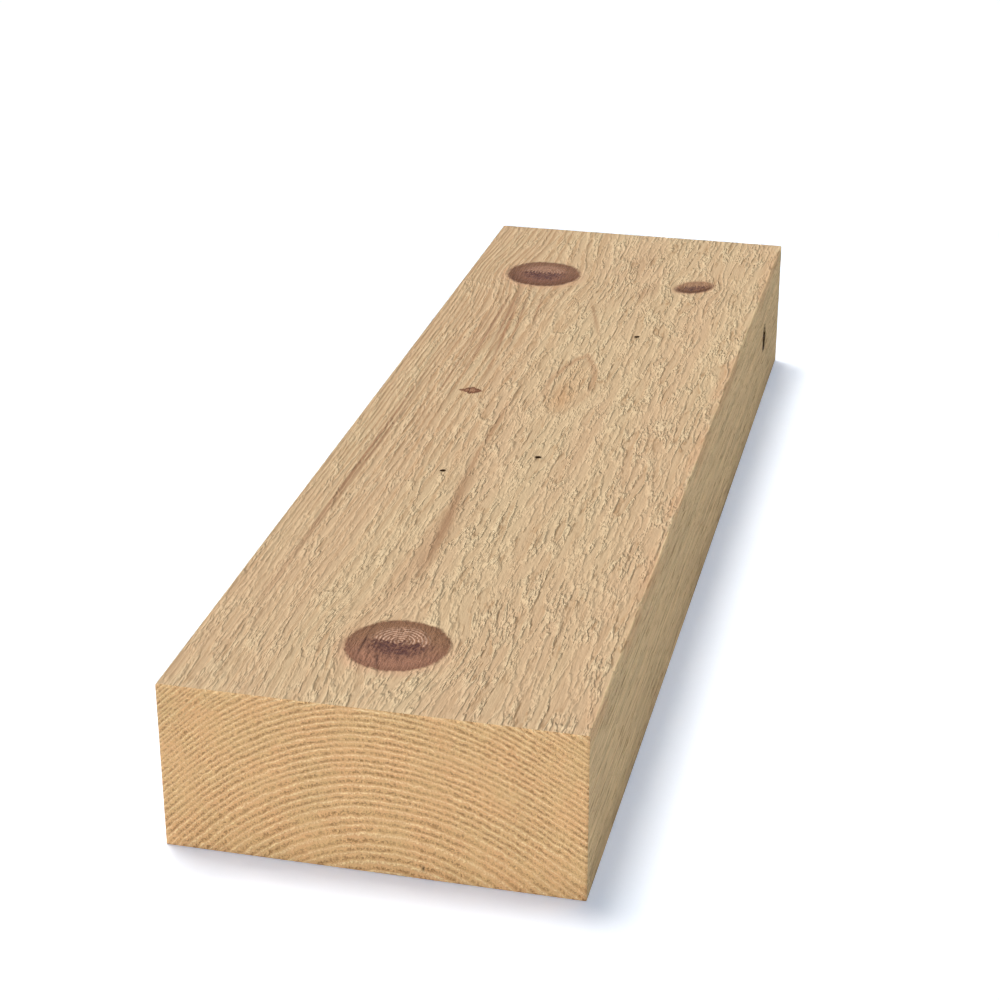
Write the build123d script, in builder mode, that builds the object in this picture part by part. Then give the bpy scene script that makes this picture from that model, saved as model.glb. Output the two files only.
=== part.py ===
"""A short length of sawn softwood plank: one solid stick of timber, with three pin holes in its
upper face and, in its right edge, the tapered hole that a small lost knot has left."""

import os
from math import cos, radians, sin, tan

from build123d import *

# The stick of timber, in millimetres. It lies flat along X, with its near end at -X, its left edge
# at +Y, and the middle of its underside at the origin.
length = 304.8
width = 88.9
thickness = 38.1
arris_radius = 0.4  # the four long edges, hardly eased after the saw
end_break = 0.25  # the rims of both cross-cut ends

# The pin holes go straight down from the upper face. Each place is a share of the length, from the
# near end, and a share of the width, from the left edge.
pin_hole_diameter = 1.6
pin_hole_depth = 5.0
pin_hole_shares = [(0.377, 0.333), (0.420, 0.567), (0.708, 0.666)]

# The knot hole narrows along the line of the lost branch, which leans from the heart of the tree,
# below the plank, up and out through the right edge. Its place is a share of the length, from the
# near end, and a share of the thickness, from the underside.
knot_hole_diameter = 6.4
knot_hole_depth = 10.0
knot_hole_taper = 12.0  # degrees
knot_hole_lean = 35.0  # degrees above level
knot_hole_length_share = 0.884
knot_hole_height_share = 0.543
cut_overrun = 1.0

near_end = -length / 2
left_edge = width / 2
knot_hole_mouth = (
    near_end + knot_hole_length_share * length,
    -left_edge,
    knot_hole_height_share * thickness,
)
branch_line = (0, -cos(radians(knot_hole_lean)), sin(radians(knot_hole_lean)))

# A leaning mouth stands partly outside the edge, so its circle is drawn clear of the wood, and as
# much wider there as the taper makes it.
lean_slope = tan(radians(knot_hole_lean))
taper_slope = tan(radians(knot_hole_taper))
mouth_reach = knot_hole_diameter / 2 * lean_slope / (1 - taper_slope * lean_slope) + cut_overrun
mouth_radius = knot_hole_diameter / 2 + mouth_reach * taper_slope
mouth_plane = Plane(origin=knot_hole_mouth, x_dir=(1, 0, 0), z_dir=branch_line).offset(mouth_reach)

with BuildPart() as plank:
    # The section that the saw leaves, run out to both ends from the middle.
    with BuildSketch(Plane.YZ):
        with Locations((0, thickness / 2)):
            RectangleRounded(width, thickness, arris_radius)
    extrude(amount=length / 2, both=True)

    end_faces = plank.faces().filter_by(Axis.X)
    chamfer(end_faces.edges(), end_break)

    upper_face = plank.faces().sort_by(Axis.Z)[-1]
    near_left_corner = Plane(origin=(near_end, left_edge, upper_face.center().Z))
    with Locations(near_left_corner):
        with Locations([(along * length, -across * width) for along, across in pin_hole_shares]):
            Hole(pin_hole_diameter / 2, depth=pin_hole_depth)

    with BuildSketch(mouth_plane):
        Circle(mouth_radius)
    extrude(amount=-(mouth_reach + knot_hole_depth), taper=knot_hole_taper, mode=Mode.SUBTRACT)

plank.part.label = "plank"
os.makedirs("parts", exist_ok=True)
export_step(plank.part, "parts/plank.step")
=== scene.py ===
import math

import bmesh
import bpy
from mathutils import Matrix, Vector


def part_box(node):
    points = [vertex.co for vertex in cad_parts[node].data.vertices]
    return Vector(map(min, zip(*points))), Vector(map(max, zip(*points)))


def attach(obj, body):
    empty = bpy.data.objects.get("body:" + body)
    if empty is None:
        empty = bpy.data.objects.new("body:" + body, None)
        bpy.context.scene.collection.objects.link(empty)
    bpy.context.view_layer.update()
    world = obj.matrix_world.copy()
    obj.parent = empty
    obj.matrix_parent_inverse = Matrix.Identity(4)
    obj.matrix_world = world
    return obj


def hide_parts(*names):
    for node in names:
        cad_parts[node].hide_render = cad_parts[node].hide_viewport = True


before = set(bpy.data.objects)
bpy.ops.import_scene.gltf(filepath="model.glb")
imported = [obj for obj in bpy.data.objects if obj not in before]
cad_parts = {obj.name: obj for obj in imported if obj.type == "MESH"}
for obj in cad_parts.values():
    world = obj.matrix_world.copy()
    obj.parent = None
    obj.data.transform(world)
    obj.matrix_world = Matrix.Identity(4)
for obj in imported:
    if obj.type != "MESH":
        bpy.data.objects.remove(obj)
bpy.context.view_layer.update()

# The sawn stick
# One length of softwood, sawn square on four sides and cross-cut at both ends. The saw has left its
# arrises sharp. The grid of faces is fine across the grain and longer along it, as the fibres are.
MM = 0.001
low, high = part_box("plank")
length, width, thickness = high - low
near_end, left_edge, upper_face = low.x, high.y, high.z
arris = 0.35 * MM
cells_along, cells_across, cells_through = 100, 210, 84

stick = bmesh.new()
bmesh.ops.create_cube(stick, size=1.0)
bmesh.ops.scale(stick, vec=high - low, verts=stick.verts)
bmesh.ops.translate(stick, vec=(low + high) / 2, verts=stick.verts)
bmesh.ops.bevel(
    stick, geom=stick.edges[:], offset=arris, affect="EDGES", segments=2, profile=0.5, material=-1
)
for axis, cells in enumerate((cells_along, cells_across, cells_through)):
    runs = [e for e in stick.edges if abs((e.verts[0].co - e.verts[1].co)[axis]) > 4 * arris]
    bmesh.ops.subdivide_edges(stick, edges=runs, cuts=cells - 1, use_grid_fill=True)
bmesh.ops.recalc_face_normals(stick, faces=stick.faces)


def placed(name, shape):
    """A mesh object at the origin, made from a bmesh whose places are already right."""
    mesh = bpy.data.meshes.new(name)
    shape.to_mesh(mesh)
    shape.free()
    piece = bpy.data.objects.new(name, mesh)
    bpy.context.scene.collection.objects.link(piece)
    return piece


def finished(piece):
    """Leaves the piece with the mesh that its modifiers give, and no modifiers."""
    graph = bpy.context.evaluated_depsgraph_get()
    mesh = bpy.data.meshes.new_from_object(piece.evaluated_get(graph))
    piece.modifiers.clear()
    piece.data = mesh


plank = placed("sawn_plank", stick)

# The holes
# Insects have left three pin holes in the upper face, and a small dead knot has dropped out of the
# right edge. Its hole narrows along the branch's line, which leans up from the heart of the tree.
pin_hole_radius, pin_hole_depth = 0.65 * MM, 5 * MM
pin_hole_shares = [(0.377, 0.333), (0.420, 0.567), (0.708, 0.666)]
knot_hole_radius, knot_hole_depth = 3.2 * MM, 10 * MM
knot_hole_taper, knot_hole_lean = math.radians(12), math.radians(35)
knot_hole_shares = (0.884, 0.543)
overrun = 5 * MM
hole_sides = 24


def on_upper_face(along_share, across_share):
    """A place on the upper face, by a share of the length from the near end and of the width from the
    left edge."""
    return Vector((near_end + along_share * length, left_edge - across_share * width, upper_face))


def bore(shape, mouth, outward, radius, depth, taper):
    """Adds a tapered plug to shape, which reaches from outside the mouth to depth inside it."""
    middle = mouth + outward * (overrun - depth) / 2
    turn = outward.to_track_quat("Z", "Y").to_matrix().to_4x4()
    bmesh.ops.create_cone(
        shape, cap_ends=True, segments=hole_sides, depth=depth + overrun,
        radius1=radius - depth * math.tan(taper), radius2=radius + overrun * math.tan(taper),
        matrix=Matrix.Translation(middle) @ turn,
    )


plugs = bmesh.new()
for share in pin_hole_shares:
    bore(plugs, on_upper_face(*share), Vector((0, 0, 1)), pin_hole_radius, pin_hole_depth, 0.0)
along_share, up_share = knot_hole_shares
knot_hole_mouth = Vector((near_end + along_share * length, low.y, up_share * thickness))
branch_line = Vector((0, -math.cos(knot_hole_lean), math.sin(knot_hole_lean)))
bore(plugs, knot_hole_mouth, branch_line, knot_hole_radius, knot_hole_depth, knot_hole_taper)
drill = placed("drill", plugs)
cut = plank.modifiers.new("holes", "BOOLEAN")
cut.operation = "DIFFERENCE"
cut.object = drill
cut.solver = "EXACT"
finished(plank)
bpy.data.objects.remove(drill)


# The wood
# Softwood grown in rings round a heart that lies below the plank. The same growth shapes the rough
# surface and colours it, so both are worked out from one recipe, in millimetres.
class Strand:
    """A socket of a node tree. A sum on strands and numbers adds the Math nodes that work it out."""

    def __init__(self, tree, socket):
        self.tree = tree
        self.socket = socket

    def node(self, kind, settings, sockets, output=0):
        """Adds a node with these settings, then gives its sockets their values or links."""
        added = self.tree.nodes.new(kind)
        for name, value in settings.items():
            setattr(added, name, value)
        for name, value in sockets.items():
            if isinstance(value, Strand):
                self.tree.links.new(value.socket, added.inputs[name])
            else:
                added.inputs[name].default_value = value
        return Strand(self.tree, added.outputs[output] if added.outputs else None)

    def maths(self, operation, *values):
        return self.node("ShaderNodeMath", {"operation": operation}, dict(enumerate(values)))

    def __add__(self, other):
        return self.maths("ADD", self, other)

    def __sub__(self, other):
        return self.maths("SUBTRACT", self, other)

    def __rsub__(self, other):
        return self.maths("SUBTRACT", other, self)

    def __mul__(self, other):
        return self.maths("MULTIPLY", self, other)

    def __truediv__(self, other):
        return self.maths("DIVIDE", self, other)

    __radd__ = __add__
    __rmul__ = __mul__

    def root(self):
        return self.maths("SQRT", self)

    def size(self):
        return self.maths("ABSOLUTE", self)

    def fraction(self):
        return self.maths("FRACT", self)

    def most(self, other):
        return self.maths("MAXIMUM", self, other)

    def fading(self):
        """1 at zero, falling away on both sides as a bell does."""
        return self.maths("EXPONENT", self * self * -1.0)

    def rise(self, start, end):
        """0 before start and 1 after end, with a smooth step between."""
        ends = {"Value": self, "From Min": start, "From Max": end}
        return self.node("ShaderNodeMapRange", {"interpolation_type": "SMOOTHSTEP"}, ends)

    def between(self, first, second):
        """The first colour where this is 0 and the second where it is 1."""
        return self.node("ShaderNodeMix", {"data_type": "RGBA"}, {0: self, 6: first, 7: second}, output=2)

    def shaded(self, amount):
        """This colour times an amount."""
        return self.node("ShaderNodeVectorMath", {"operation": "SCALE"}, {"Vector": self, "Scale": amount})


def spot_of(place):
    """The coordinates of a place in the plank, in millimetres."""
    scaled = place.shaded(1 / MM)
    return [place.node("ShaderNodeSeparateXYZ", {}, {"Vector": scaled}, output=axis) for axis in "XYZ"]


def grain_noise(spot, along, across, detail, shift, roughness=0.5):
    """Noise from 0 to 1 whose marks are about this long and wide, in millimetres, along the grain."""
    x, y, z = spot
    ends = {"X": x / along + shift, "Y": y / across, "Z": z / across}
    stretched = x.node("ShaderNodeCombineXYZ", {}, ends)
    ends = {"Vector": stretched, "Scale": 1.0, "Detail": detail, "Roughness": roughness}
    return x.node("ShaderNodeTexNoise", {"noise_dimensions": "3D"}, ends)


half_length, half_width, top = length / 2 / MM, width / 2 / MM, thickness / MM
heart_y, heart_z = -2.4, -29.1
inner_ring_pitch, outer_ring_pitch = 2.3, 1.45
inner_ring_lift, outer_ring_droop, left_droop = 0.0013, 0.0041, 0.00003
ring_wander, ring_waver = 3.0, 0.5
first_year_share, lean_year_share, lean_year_rate = 0.25, 0.7, 0.45
hard_start_share, hard_full_share, hard_end_share = 0.35, 0.9, 0.92


def growth(spot):
    """The year of growth at a spot, as a count of rings outwards from the underside's middle."""
    x, y, z = spot
    wander = grain_noise(spot, along=150.0, across=42.0, detail=1.0, shift=0.0) - 0.5
    waver = grain_noise(spot, along=18.0, across=2.2, detail=1.0, shift=7.0) - 0.5
    sideways, upwards = y - heart_y, z - heart_z
    radius = (sideways * sideways + upwards * upwards).root()
    bend = z * (outer_ring_droop / top) + sideways * left_droop - inner_ring_lift
    depth = radius + sideways * sideways * bend + wander * ring_wander + waver * ring_waver + heart_z
    speed_up = (1 / outer_ring_pitch - 1 / inner_ring_pitch) / top / 2
    year = depth / inner_ring_pitch + depth * depth * speed_up + first_year_share
    by_year = {"W": year * lean_year_rate, "Scale": 1.0, "Detail": 0.0}
    lean_years = x.node("ShaderNodeTexNoise", {"noise_dimensions": "1D"}, by_year)
    return year + lean_years * lean_year_share


def latewood(year):
    """0 in the soft wood of spring, rising to 1 in the hard line that ends each year."""
    season = year.fraction()
    return season.rise(hard_start_share, hard_full_share) * season.rise(1.0, hard_end_share)


# The knots
# Three branches grew up and out from the heart, so each knot is a cone through the plank, with its own
# rings. They are grown in tight, and the fibres of the trunk bend round them.
knots = [
    # along share, across share, radius, skew
    (0.0892, 0.4837, 11.1, 0.0),
    (0.8596, 0.2520, 11.0, 0.0),
    (0.8545, 0.7705, 5.6, 0.35),
]
knot_edge = 0.3
bend_along_share, bend_across_share, bend_share = 1.6, 1.4, 0.4


def beside_knot(spot, along_share, across_share, skew=0.0):
    """How far along and across a spot lies from a branch's line, as it would on the upper face."""
    x, y, z = spot
    centre = on_upper_face(along_share, across_share) / MM
    spread = (z - heart_z) / (top - heart_z)
    across = (centre.y - heart_y) - (y - heart_y) / spread
    return (x - centre.x) / spread - across * skew, across


def in_knots(spot):
    """1 inside the knots and 0 outside them."""
    inside = 0.0
    for along_share, across_share, radius, skew in knots:
        along, across = beside_knot(spot, along_share, across_share, skew)
        from_branch = (along * along + across * across).root()
        inside = from_branch.rise(radius + knot_edge, radius - knot_edge).most(inside)
    return inside


def fibre_spot(spot):
    """The spot where a fibre would lie if no knot had pushed it aside."""
    x, y, z = spot
    for along_share, across_share, radius, skew in knots:
        along, across = beside_knot(spot, along_share, across_share)
        push = (along / (radius * bend_along_share)).fading()
        push = push * (across / (radius * bend_across_share)).fading()
        y = y + across * push * bend_share
    return x, y, z


# The rough-sawn surface
# The saw has lifted the fibres in broken lines along the grain, and on the cross-cut ends it leaves the
# hard line of each ring standing. The mesh has the wide swell of this, and the finish the sharp part.
tear_length, tear_gap = 19.0, 2.4
swell_height, swell_width = 0.20, 0.20
ridge_height = 0.08
steady_edge, rough_edge = 0.3, 1.4
face_skin = 0.05
least_torn_share, knot_calm_share = 0.38, 0.7


def from_tear(fibre):
    """0 on each line where the saw has lifted the fibres, and further from 0 away from it."""
    return grain_noise(fibre, along=tear_length, across=tear_gap, detail=1.0, shift=27.0) - 0.5


def torn(fibre):
    """1 in the patches that the saw has torn most, and less in the flatter wood between them."""
    patches = grain_noise(fibre, along=12.0, across=5.0, detail=1.0, shift=17.0).rise(0.38, 0.60)
    return least_torn_share + patches * (1 - least_torn_share)


relief = bpy.data.node_groups.new("rough_sawn", "GeometryNodeTree")
for way in ("INPUT", "OUTPUT"):
    relief.interface.new_socket("Geometry", in_out=way, socket_type="NodeSocketGeometry")
inlet = Strand(relief, relief.nodes.new("NodeGroupInput").outputs[0])
spot = spot_of(inlet.node("GeometryNodeInputPosition", {}, {}))
x, y, z = spot
inset = [half_length - x.size(), half_width - y.size(), top / 2 - (z - top / 2).size()]
on_face = [gap.rise(2 * face_skin, face_skin) for gap in inset]
off_edge = [gap.rise(steady_edge, rough_edge) for gap in inset]
fibre = fibre_spot(spot)
swell = (from_tear(fibre) / swell_width).fading() * torn(fibre)
sunk = (1 - swell * (1 - in_knots(spot) * knot_calm_share)) * swell_height
ridged = (1 - latewood(growth(spot))) * ridge_height
sink = {
    "X": x / half_length * on_face[0] * off_edge[1] * off_edge[2] * ridged * -MM,
    "Y": y / half_width * on_face[1] * off_edge[0] * off_edge[2] * sunk * -MM,
    "Z": (z / (top / 2) - 1) * on_face[2] * off_edge[0] * off_edge[1] * sunk * -MM,
}
offset = x.node("ShaderNodeCombineXYZ", {}, sink)
moved = inlet.node("GeometryNodeSetPosition", {}, {"Geometry": inlet, "Offset": offset})
relief.links.new(moved.socket, relief.nodes.new("NodeGroupOutput").inputs[0])
roughened = plank.modifiers.new("rough_sawn", "NODES")
roughened.node_group = relief
finished(plank)
for face in plank.data.polygons:
    face.use_smooth = True


# The sawn faces
# Pale tan wood with brown lines where the rings come out, and on its two edges fine streaks and dark
# dashes along the grain. The dashes are darkened as painted shade in their grooves, and the edge faces are
# lightened a little as a painted lift for faces that stand in shade. The fibres that the saw has lifted
# carry a painted highlight, with a dark line of painted shade beside them.
def shown(red, green, blue):
    """A colour as a picture shows it, 0 to 255, turned to the amounts of light that a shader takes."""
    parts = [part / 255 for part in (red, green, blue)]
    light = [p / 12.92 if p <= 0.04045 else ((p + 0.055) / 1.055) ** 2.4 for p in parts]
    return (*light, 1.0)


def new_finish(name):
    """An empty material on the plank, and the strand of its places."""
    material = bpy.data.materials.new(name)
    material.use_nodes = True
    material.node_tree.nodes.clear()
    material.cycles.use_bump_map_correction = False
    plank.data.materials.append(material)
    return Strand(material.node_tree, material.node_tree.nodes.new("ShaderNodeTexCoord").outputs["Object"])


pale_tan, warm_tan, ring_brown = shown(206, 178, 141), shown(205, 173, 137), shown(174, 132, 94)
# The pale of the lifted fibres is a painted highlight, and the brown beside them is painted shade.
lifted_highlight_pale, tear_shade_brown = shown(236, 212, 172), shown(150, 108, 68)
# The edge tan is a painted lift for the edge faces, which stand in shade; the dash brown is painted shade.
edge_lift_tan, dash_shade_brown = shown(204, 181, 140), shown(132, 98, 62)
left_start, left_full = -8.0, 30.0
lines_start, lines_full, faint_line_share = -100.0, 10.0, 0.3
ring_share, lined_ring_share, ragged_year_share = 0.14, 0.46, 0.4
right_torn_share, left_calm_share = 1.28, 0.52
tear_height, tear_width, tear_wobble = 0.86, 0.085, 0.13
tear_shade_step, tear_shade_width = 0.11, 0.05
warp_along, warp_across = 9.0, 1.5
lifted_highlight_share, tear_shade_share = 0.42, 0.4
edge_band = 0.3
# Shares of the painted lift on the edge faces and of the painted shade in the dashes.
edge_lift_share, dash_shade_share, edge_dash_shade_share = 0.6, 0.10, 0.45
streak_share, streak_middle_share = 1.25, 0.575

plank.data.materials.clear()
spot = spot_of(new_finish("sawn_softwood"))
x, y, z = spot
fibre = fibre_spot(spot)
fibres = grain_noise(fibre, along=18.0, across=0.5, detail=2.0, shift=21.0, roughness=0.6)
tone = grain_noise(fibre, along=90.0, across=12.0, detail=2.0, shift=31.0)
ragged = grain_noise(fibre, along=3.5, across=0.6, detail=1.0, shift=13.0, roughness=0.6) - 0.5
knobs = grain_noise(fibre, along=2.6, across=0.8, detail=1.0, shift=23.0)
# Dashes along the grain, sunk a little and darkened as painted shade.
dashes = grain_noise(fibre, along=8.0, across=0.5, detail=1.0, shift=71.0).rise(0.60, 0.68)
streaky = grain_noise(fibre, along=40.0, across=0.8, detail=4.0, shift=73.0, roughness=0.7)
late = latewood(growth(fibre) + ragged * ragged_year_share)
left_side = y.rise(left_start, left_full)
lined = left_side * (faint_line_share + x.rise(lines_start, lines_full) * (1 - faint_line_share))
rough = torn(fibre) * (right_torn_share - left_side * left_calm_share)
tear = from_tear(fibre)
wobbly = tear + ragged * tear_wobble
swell = (tear / swell_width).fading() * rough
# The lifted fibres stand up and take a painted highlight; the painted shade lies just beside them.
lifted = (wobbly / tear_width).fading() * knobs.rise(0.30, 0.62) * rough
tear_shade = ((wobbly - tear_shade_step) / tear_shade_width).fading() * knobs.rise(0.36, 0.62) * rough
warped = (fibre[0] + tear * warp_along, fibre[1] + ragged * warp_across, z)
mottle = grain_noise(warped, along=1.6, across=0.7, detail=1.0, shift=83.0)
on_edge = (half_width - y.size()).rise(2 * edge_band, edge_band)

wood = tone.rise(0.35, 0.65).between(pale_tan, warm_tan)
wood = (late * (ring_share + lined * lined_ring_share)).between(wood, ring_brown)
wood = wood.shaded(0.90 + fibres * 0.20)
# A painted highlight on the lifted fibres, and painted shade in a dark line beside them.
wood = (lifted * lifted_highlight_share).between(wood, lifted_highlight_pale)
wood = (tear_shade * tear_shade_share).between(wood, tear_shade_brown)
# On the edge faces the wood turns a greener tan and is lightened a little, a painted lift for faces in
# shade.
wood = (on_edge * edge_lift_share).between(wood, edge_lift_tan)
# The dashes are darkened as painted shade in their grooves, more on the edge faces than on top.
wood = (dashes * (dash_shade_share + on_edge * edge_dash_shade_share)).between(wood, dash_shade_brown)
# The streaks on the edge faces are grain; on the whole they also lighten the edges a little, part of the
# painted lift.
wood = wood.shaded(1.0 + on_edge * (streaky * streak_share - streak_middle_share))

# The streaks of resin
# Resin has dried in thin brown streaks along the grain of the upper face, most of them between the far
# knot and the middle. The first two are wider, and lie between the near knot and the middle.
streaks = [
    # along share, across share, half length, half width, slope, bend, strength
    (0.265, 0.432, 30.0, 2.1, 0.0, -0.0022, 0.40),
    (0.330, 0.415, 34.0, 1.1, -0.06, 0.0, 0.34),
    (0.370, 0.097, 62.0, 0.50, 0.0, 0.0, 0.75),
    (0.420, 0.112, 50.0, 0.40, 0.01, 0.0, 0.6),
    (0.700, 0.250, 34.0, 0.6, -0.08, 0.0, 0.75),
    (0.735, 0.225, 28.0, 0.5, -0.06, 0.0, 0.75),
    (0.690, 0.200, 32.0, 0.45, -0.03, 0.0, 0.7),
    (0.730, 0.270, 26.0, 0.45, -0.09, 0.0, 0.6),
    (0.655, 0.170, 34.0, 0.35, -0.02, 0.0, 0.5),
    (0.770, 0.305, 18.0, 0.4, -0.10, 0.0, 0.5),
    (0.480, 0.400, 24.0, 0.5, 0.0, 0.0, 0.35),
    (0.748, 0.505, 14.0, 0.6, -0.28, 0.0, 0.5),
    (0.828, 0.620, 6.0, 2.2, 0.2, 0.0, 0.35),
    (0.915, 0.560, 14.0, 4.0, 0.1, 0.0, 0.2),
]
resin_brown = shown(146, 102, 72)
mark_depth, mark_end = 2.0, 6.0


def stroke(spot, along_share, across_share, half_long, half_wide, slope=0.0, bend=0.0):
    """1 in the middle of a mark on the upper face, fading to 0 at its ends and sides."""
    x, y, z = spot
    middle = on_upper_face(along_share, across_share) / MM
    along = x - middle.x
    across = middle.y - y - along * slope - along * along * bend
    return (along / half_long).fading() * (across / half_wide).fading()


resin = 0.0
for along_share, across_share, half_long, half_wide, slope, bend, strength in streaks:
    resin = stroke(spot, along_share, across_share, half_long, half_wide, slope, bend) * strength + resin
upper = z.rise(top - mark_end, top - mark_depth)
wood = (resin * upper).between(wood, resin_brown)

# The eye, the pin knot and the arrises
# Where a ring only just comes out of the upper face, it draws a pointed eye with a darker core. A twig has
# left a small diamond of darker wood, and along the arrises the wood is a little redder in patches.
eye_shares, eye_half_long, eye_half_wide = (0.578, 0.5455), 23.0, 6.0
core_shares, core_half_long, core_half_wide = (0.546, 0.540), 9.0, 4.0
eye_tan, eye_line_brown = shown(192, 146, 104), shown(160, 112, 78)
eye_share, core_share, eye_line_share = 0.25, 0.34, 0.5
middle = on_upper_face(*eye_shares) / MM
eye_along, eye_across = (x - middle.x) / eye_half_long, (middle.y - y) / eye_half_wide
from_eye = eye_across.size() + eye_along * eye_along + ragged * 0.3
core = stroke(spot, *core_shares, core_half_long, core_half_wide)
wood = ((from_eye.rise(1.0, 0.3) * eye_share + core * core_share) * upper).between(wood, eye_tan)
outline = ((from_eye - 0.95) / 0.16).fading() * eye_along.rise(-1.3, 0.6) * upper
wood = (outline * eye_line_share).between(wood, eye_line_brown)

pin_knot_shares, pin_knot_half_long, pin_knot_half_wide = (0.5466, 0.2677), 2.4, 3.3
pin_knot_tan, pin_knot_brown = shown(162, 120, 92), shown(118, 78, 56)
middle = on_upper_face(*pin_knot_shares) / MM
pin_along, pin_across = (x - middle.x) / pin_knot_half_long, (middle.y - y) / pin_knot_half_wide
from_pin = pin_along.size() + pin_across.size() + ragged * 0.8
pin_tint = from_pin.rise(0.1, 0.7).between(pin_knot_tan, pin_knot_brown)
wood = (from_pin.rise(1.15, 0.85) * upper).between(wood, pin_tint)

arris_red, arris_start, arris_full = shown(200, 150, 112), 4.5, 0.5
arris_share, left_arris_share = 0.34, 0.26
arris_patches = grain_noise(fibre, along=22.0, across=6.0, detail=2.0, shift=61.0).rise(0.42, 0.60)
by_arris = (half_width - y.size()).rise(arris_start, arris_full) * arris_patches
wood = (by_arris * upper * (arris_share - left_side * left_arris_share)).between(wood, arris_red)

# The wood of the knots
# Reddish-brown wood, darker and harder than the rest. Behind its own heart a knot shows pale rings, before
# it a dark stain of resin, and at its edge a darker rim. Three short cracks have opened in them.
knot_looks = [
    # rings, stain, where the rim starts, rim of the near half, rim of the far half, soft edge,
    # tint of the near half, tint of the far half
    (0.8, 1.0, 0.75, 0.3, 0.3, 0.02, shown(150, 106, 84), shown(138, 100, 74)),
    (0.4, 1.0, 0.45, 0.8, 0.5, 0.04, shown(126, 84, 66), shown(142, 102, 78)),
    (0.1, 0.9, 0.2, 1.5, 0.0, 0.14, shown(134, 94, 70), shown(156, 118, 88)),
]
ring_pink, stain_dark, rim_brown = shown(212, 172, 148), shown(76, 42, 42), shown(96, 62, 40)
halo_tan, halo_share = shown(208, 160, 128), 0.45
knot_ring_pitch, knot_heart_share = 0.82, 0.16
heart_line_start, heart_line_end = -1.2, 0.6
heart_line_fleck, heart_line_stroke = 4.0, 5.0
flecks = grain_noise(spot, along=1.3, across=1.0, detail=2.0, shift=41.0, roughness=0.6)
strokes = grain_noise(spot, along=3.0, across=0.5, detail=2.0, shift=43.0, roughness=0.6)
lumps = grain_noise(spot, along=6.0, across=5.0, detail=1.0, shift=45.0)
for knot, look in zip(knots, knot_looks):
    along_share, across_share, radius, skew = knot
    rings, stain, rim_start, near_rim, far_rim, soft, near_tint, far_tint = look
    along, across = beside_knot(spot, along_share, across_share, skew)
    far = (along * along + across * across).root() / radius + (flecks - 0.5) * (0.10 + soft * 0.5)
    far = far + (lumps - 0.5) * 0.10
    far_half = (along / radius).rise(-0.7, 0.5)
    body = far_half.between(near_tint, far_tint)
    ring_along = along - radius * knot_heart_share
    from_heart = (ring_along * ring_along + across * across).root()
    ring = (from_heart / knot_ring_pitch + (flecks - 0.5) * 0.9).fraction()
    ring = ring.rise(0.3, 0.6) * ring.rise(1.0, 0.75)
    jagged = ring_along + (flecks - 0.5) * heart_line_fleck + (strokes - 0.5) * heart_line_stroke
    behind_heart = jagged.rise(heart_line_start, heart_line_end)
    ringed = ring * behind_heart * (from_heart / radius).rise(0.64, 0.45) * flecks.rise(0.3, 0.5)
    body = (ringed * rings).between(body, ring_pink)
    crescent = ((from_heart / radius) + (strokes - 0.5) * 0.4).rise(0.78, 0.40) * (1 - behind_heart)
    stained = 0.30 + flecks.rise(0.66, 0.40) * 0.45 + (1 - ring) * 0.2
    body = (crescent * stained * stain).between(body, stain_dark)
    rim = far.rise(rim_start, 0.95) * (near_rim + far_half * (far_rim - near_rim))
    body = rim.between(body, rim_brown)
    body = body.shaded(0.44 + flecks * 0.48 + strokes * 0.62)
    halo = far.rise(1.35, 1.0) * (along / radius).rise(1.0, -1.0)
    wood = (halo * halo_share).between(wood, halo_tan)
    wood = far.rise(1.03 + soft, 0.97 - soft).between(wood, body)

cracks = [
    # along share, across share, half length, half width, slope
    (0.0668, 0.4550, 2.3, 0.30, -0.20),
    (0.0861, 0.4016, 4.5, 0.28, 0.0),
    (0.8480, 0.7650, 1.6, 0.35, 0.05),
]
crack_dark, crack_share = shown(62, 36, 30), 0.85
cracked = 0.0
for crack in cracks:
    cracked = stroke(spot, *crack).most(cracked)
wood = (cracked * upper * crack_share).between(wood, crack_dark)

# The walls of the holes
# The holes are painted dark inside, which is painted shade in their recesses; round the knot hole the dark
# is also the bark that lined the dropped knot. The dark ends close to the rims, in a ragged line round the
# knot hole.
# Painted shade inside the holes, and in the knot hole also its bark lining.
hole_shade_dark = shown(60, 40, 20)
pin_shade, pin_shade_fade, pin_shade_depth, pin_shade_end = 0.68, 0.2, 6.0, 8.0
knot_bark_shade, knot_bark_shade_outer, knot_bark_shade_inner, knot_bark_shade_ragged = 0.1, 0.7, 0.3, 1.6
knot_bark_shade_depth, knot_bark_shade_end = 10.0, 12.0
holes = 0.0
for share in pin_hole_shares:
    middle = on_upper_face(*share) / MM
    around = ((x - middle.x) * (x - middle.x) + (y - middle.y) * (y - middle.y)).root()
    deep = z.rise(top - pin_shade_end, top - pin_shade_depth)
    holes = (around.rise(pin_shade + pin_shade_fade, pin_shade) * deep).most(holes)
mouth = knot_hole_mouth / MM
aside, inward, above = x - mouth.x, y - mouth.y, z - mouth.z
reach = inward * branch_line.y + above * branch_line.z
around = (aside * aside + inward * inward + above * above - reach * reach).root()
around = around + (flecks - 0.5) * knot_bark_shade_ragged
bore_edge = knot_hole_radius / MM + knot_bark_shade
deep = inward.rise(knot_bark_shade_end, knot_bark_shade_depth)
holes = (around.rise(bore_edge + knot_bark_shade_outer, bore_edge - knot_bark_shade_inner) * deep).most(holes)
# The holes take their painted shade here; in the knot hole it is also the bark.
wood = holes.between(wood, hole_shade_dark)

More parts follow.
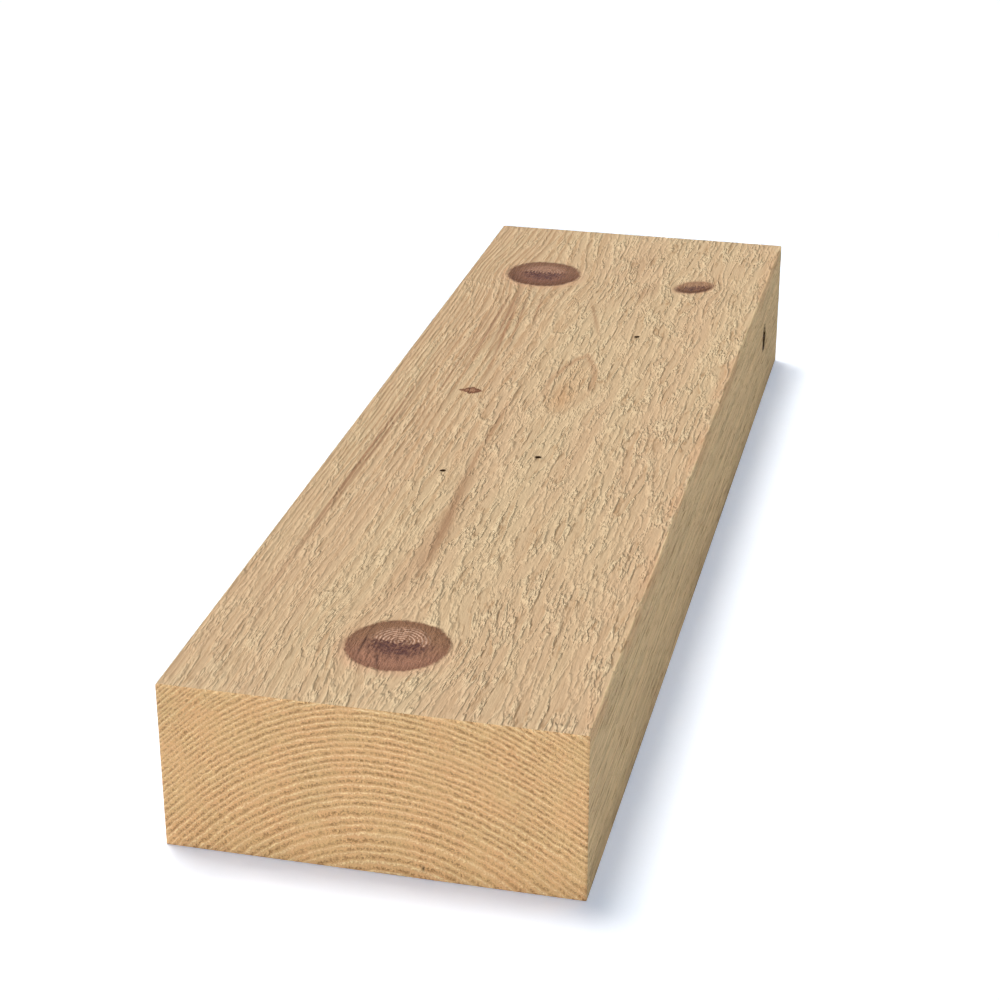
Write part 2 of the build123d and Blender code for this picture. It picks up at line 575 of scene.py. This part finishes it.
# The relief of the sawn faces
# The lifted fibres, the rings and the fine fibres stand up by parts of a millimetre. The knots are harder,
# so the saw has torn them less, and they are a little less dull than the wood round them.
fibre_height, mottle_height = 0.12, 0.16
ring_height, lined_ring_height = 0.05, 0.14
edge_calm_share, edge_dash_depth, edge_streak_height = 0.1, 0.3, 0.4
knot_tear_calm_share, knot_fleck_height, knot_stroke_height = 0.6, 0.5, 0.35
wood_roughness, knot_polish, wood_sheen = 0.76, 0.16, 0.12
knotty = in_knots(spot)
height = (lifted * tear_height - swell * swell_height) * (1 - knotty * knot_tear_calm_share)
height = height + fibres * fibre_height + mottle * mottle_height
height = height + late * (ring_height + lined * lined_ring_height) * (0.4 + knobs * 0.6)
height = height * (1.0 - on_edge * edge_calm_share)
height = height - dashes * on_edge * edge_dash_depth + streaky * on_edge * edge_streak_height
height = height + knotty * ((flecks - 0.5) * knot_fleck_height + (strokes - 0.5) * knot_stroke_height)
bumped = x.node("ShaderNodeBump", {}, {"Strength": 1.0, "Distance": MM, "Height": height})
dullness = wood_roughness - knotty * knot_polish
finish = {"Base Color": wood, "Roughness": dullness, "Specular IOR Level": wood_sheen, "Normal": bumped}
surface = x.node("ShaderNodeBsdfPrincipled", {}, finish)
x.node("ShaderNodeOutputMaterial", {}, {"Surface": surface})

# The cross-cut ends
# The saw went straight across the grain. The hard line of each ring stands up as a crest, painted pale as a
# highlight, and the soft wood that starts the next is torn to grit, darkened in specks as painted shade in
# the hollow beside the crest. A dark speck shows low on the near end.
end_tan, end_orange = shown(222, 183, 133), shown(225, 180, 131)
# The crest colour is a painted highlight, and the soft brown is painted shade in the hollows between crests.
crest_highlight_pale, soft_shade_brown, speck_dark = shown(254, 228, 178), shown(160, 116, 70), shown(70, 46, 24)
grit_year_share, uneven_year_share, least_clear_share = 0.6, 0.35, 0.65
soft_shade_share, speck_share = 0.9, 0.9
speck_across_share, speck_height_share = 0.6215, 0.0709
speck_half_wide, speck_half_tall = 0.25, 0.6
crest_height, grit_height, clear_grit_height, soft_grit_height = 0.26, 0.6, 0.2, 0.5
end_roughness = 0.8

spot = spot_of(new_finish("cross_cut_softwood"))
x, y, z = spot
grit = grain_noise(spot, along=0.5, across=0.5, detail=2.0, shift=5.0, roughness=0.7)
uneven = grain_noise(spot, along=1.6, across=1.6, detail=1.0, shift=6.0)
clear = grain_noise(spot, along=9.0, across=9.0, detail=1.0, shift=8.0).rise(0.36, 0.56)
clear = least_clear_share + clear * (1 - least_clear_share)
year = growth(spot) + (grit - 0.5) * grit_year_share + (uneven - 0.5) * uneven_year_share
season = year.fraction()
crest = season.rise(0.66, 0.92) * season.rise(1.0, 0.95) * grit.rise(0.30, 0.60) * clear
soft = season.rise(0.0, 0.08) * season.rise(0.55, 0.28) * clear
patches = grain_noise(spot, along=30.0, across=8.0, detail=2.0, shift=9.0)
wood = patches.rise(0.35, 0.65).between(end_tan, end_orange)
# A painted highlight on the standing crest of each ring.
wood = crest.between(wood, crest_highlight_pale)
# Painted shade in the hollow beside each crest, broken into dark specks of grit.
wood = (soft * grit.rise(0.66, 0.36) * soft_shade_share).between(wood, soft_shade_brown)
wood = wood.shaded(0.91 + grit * 0.20)
speck_y = on_upper_face(0.0, speck_across_share).y / MM
speck_z = speck_height_share * top
on_near_end = x.rise(0.0, -1.0)
speck = ((y - speck_y) / speck_half_wide).fading() * ((z - speck_z) / speck_half_tall).fading() * on_near_end
wood = (speck * speck_share).between(wood, speck_dark)
height = crest * crest_height
height = height + (grit - 0.5) * (grit_height + clear * clear_grit_height + soft * soft_grit_height)
bumped = x.node("ShaderNodeBump", {}, {"Strength": 1.0, "Distance": MM, "Height": height})
finish = {"Base Color": wood, "Roughness": end_roughness, "Specular IOR Level": wood_sheen, "Normal": bumped}
surface = x.node("ShaderNodeBsdfPrincipled", {}, finish)
x.node("ShaderNodeOutputMaterial", {}, {"Surface": surface})
for face in plank.data.polygons:
    face.material_index = 1 if abs(face.center.x) > half_length * MM - 2 * arris else 0

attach(plank, "root")
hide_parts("plank")

# The floor
# A wide sheet of white studio paper. It gives a little light of its own towards the camera, so that
# it is white where nothing shades it and keeps the plank's soft shadow.
floor_reach = 6.0
paper_white, paper_glow = (0.98, 0.98, 0.98, 1), (0.225, 0.275, 0.37, 1)
sheet = bmesh.new()
bmesh.ops.create_grid(sheet, x_segments=1, y_segments=1, size=floor_reach)
floor = placed("floor", sheet)
paper = bpy.data.materials.new("white_paper")
paper.use_nodes = True
tree = paper.node_tree
tree.nodes.clear()
seen = Strand(tree, tree.nodes.new("ShaderNodeLightPath").outputs["Is Camera Ray"])
dull = seen.node("ShaderNodeBsdfDiffuse", {}, {"Color": paper_white})
glow = seen.node("ShaderNodeEmission", {}, {"Color": paper_glow, "Strength": seen})
both = seen.node("ShaderNodeAddShader", {}, {0: dull, 1: glow})
seen.node("ShaderNodeOutputMaterial", {}, {"Surface": both})
floor.data.materials.append(paper)


# The light
# Soft light from all round, a broad lamp almost overhead, a low one from the left that rakes the grain,
# and a fill from the near end. One more lamp lights only the paper and deepens the shadow on it.
def sun(name, towards, level, spread):
    """A far lamp that lights a face turned straight at it to this level, where 1 shows a colour as it is."""
    lamp = bpy.data.lights.new(name, "SUN")
    lamp.energy = level * math.pi
    lamp.angle = math.radians(spread)
    holder = bpy.data.objects.new(name, lamp)
    holder.rotation_euler = Vector(towards).to_track_quat("Z", "Y").to_euler()
    bpy.context.scene.collection.objects.link(holder)
    return holder


from_overhead, from_near_end, from_left = (0.18, 0.21, 1.0), (-0.82, -0.38, 0.46), (-0.20, 1.0, 0.30)
plank_only = bpy.data.collections.new("plank_only")
plank_only.objects.link(plank)
paper_only = bpy.data.collections.new("paper_only")
paper_only.objects.link(floor)
sun("overhead", from_overhead, level=0.425, spread=18)
sun("over_floor", from_overhead, level=0.20, spread=18).light_linking.receiver_collection = paper_only
sun("fill", from_near_end, level=0.475, spread=30).light_linking.receiver_collection = plank_only
sun("raking", from_left, level=0.70, spread=10).light_linking.receiver_collection = plank_only

ambient_tint, ambient_level = (0.94, 1.0, 1.02, 1), 0.26
world = bpy.data.worlds.new("studio")
bpy.context.scene.world = world
world.use_nodes = True
tree = world.node_tree
tree.nodes.clear()
path = tree.nodes.new("ShaderNodeLightPath")
rays = [Strand(tree, path.outputs[f"Is {kind} Ray"]) for kind in ("Camera", "Glossy", "Transmission")]
shows = rays[0].most(rays[1]).most(rays[2])
ambient = rays[0].node("ShaderNodeBackground", {}, {"Color": ambient_tint, "Strength": ambient_level})
white = rays[0].node("ShaderNodeBackground", {}, {"Color": (1, 1, 1, 1), "Strength": 1.0})
sky = rays[0].node("ShaderNodeMixShader", {}, {0: shows, 1: ambient, 2: white})
rays[0].node("ShaderNodeOutputWorld", {}, {"Surface": sky})

# The camera
# It stands before the near end, a little to the right, and looks down along the plank.
azimuth, elevation, reach = math.radians(-76.636), math.radians(24.877), 576.8 * MM
aim = Vector((-11.07, 6.86, 19.05)) * MM
level = math.cos(elevation)
back = Vector((math.sin(azimuth) * level, -math.cos(azimuth) * level, math.sin(elevation)))
lens = bpy.data.cameras.new("camera")
lens.sensor_width, lens.lens = 36.0, 81.21
lens.clip_start, lens.clip_end = 0.01, 100.0
camera = bpy.data.objects.new("camera", lens)
camera.location = aim + back * reach
camera.rotation_euler = back.to_track_quat("Z", "Y").to_euler()
bpy.context.scene.collection.objects.link(camera)
bpy.context.scene.camera = camera
bpy.context.scene.view_settings.view_transform = "Standard"
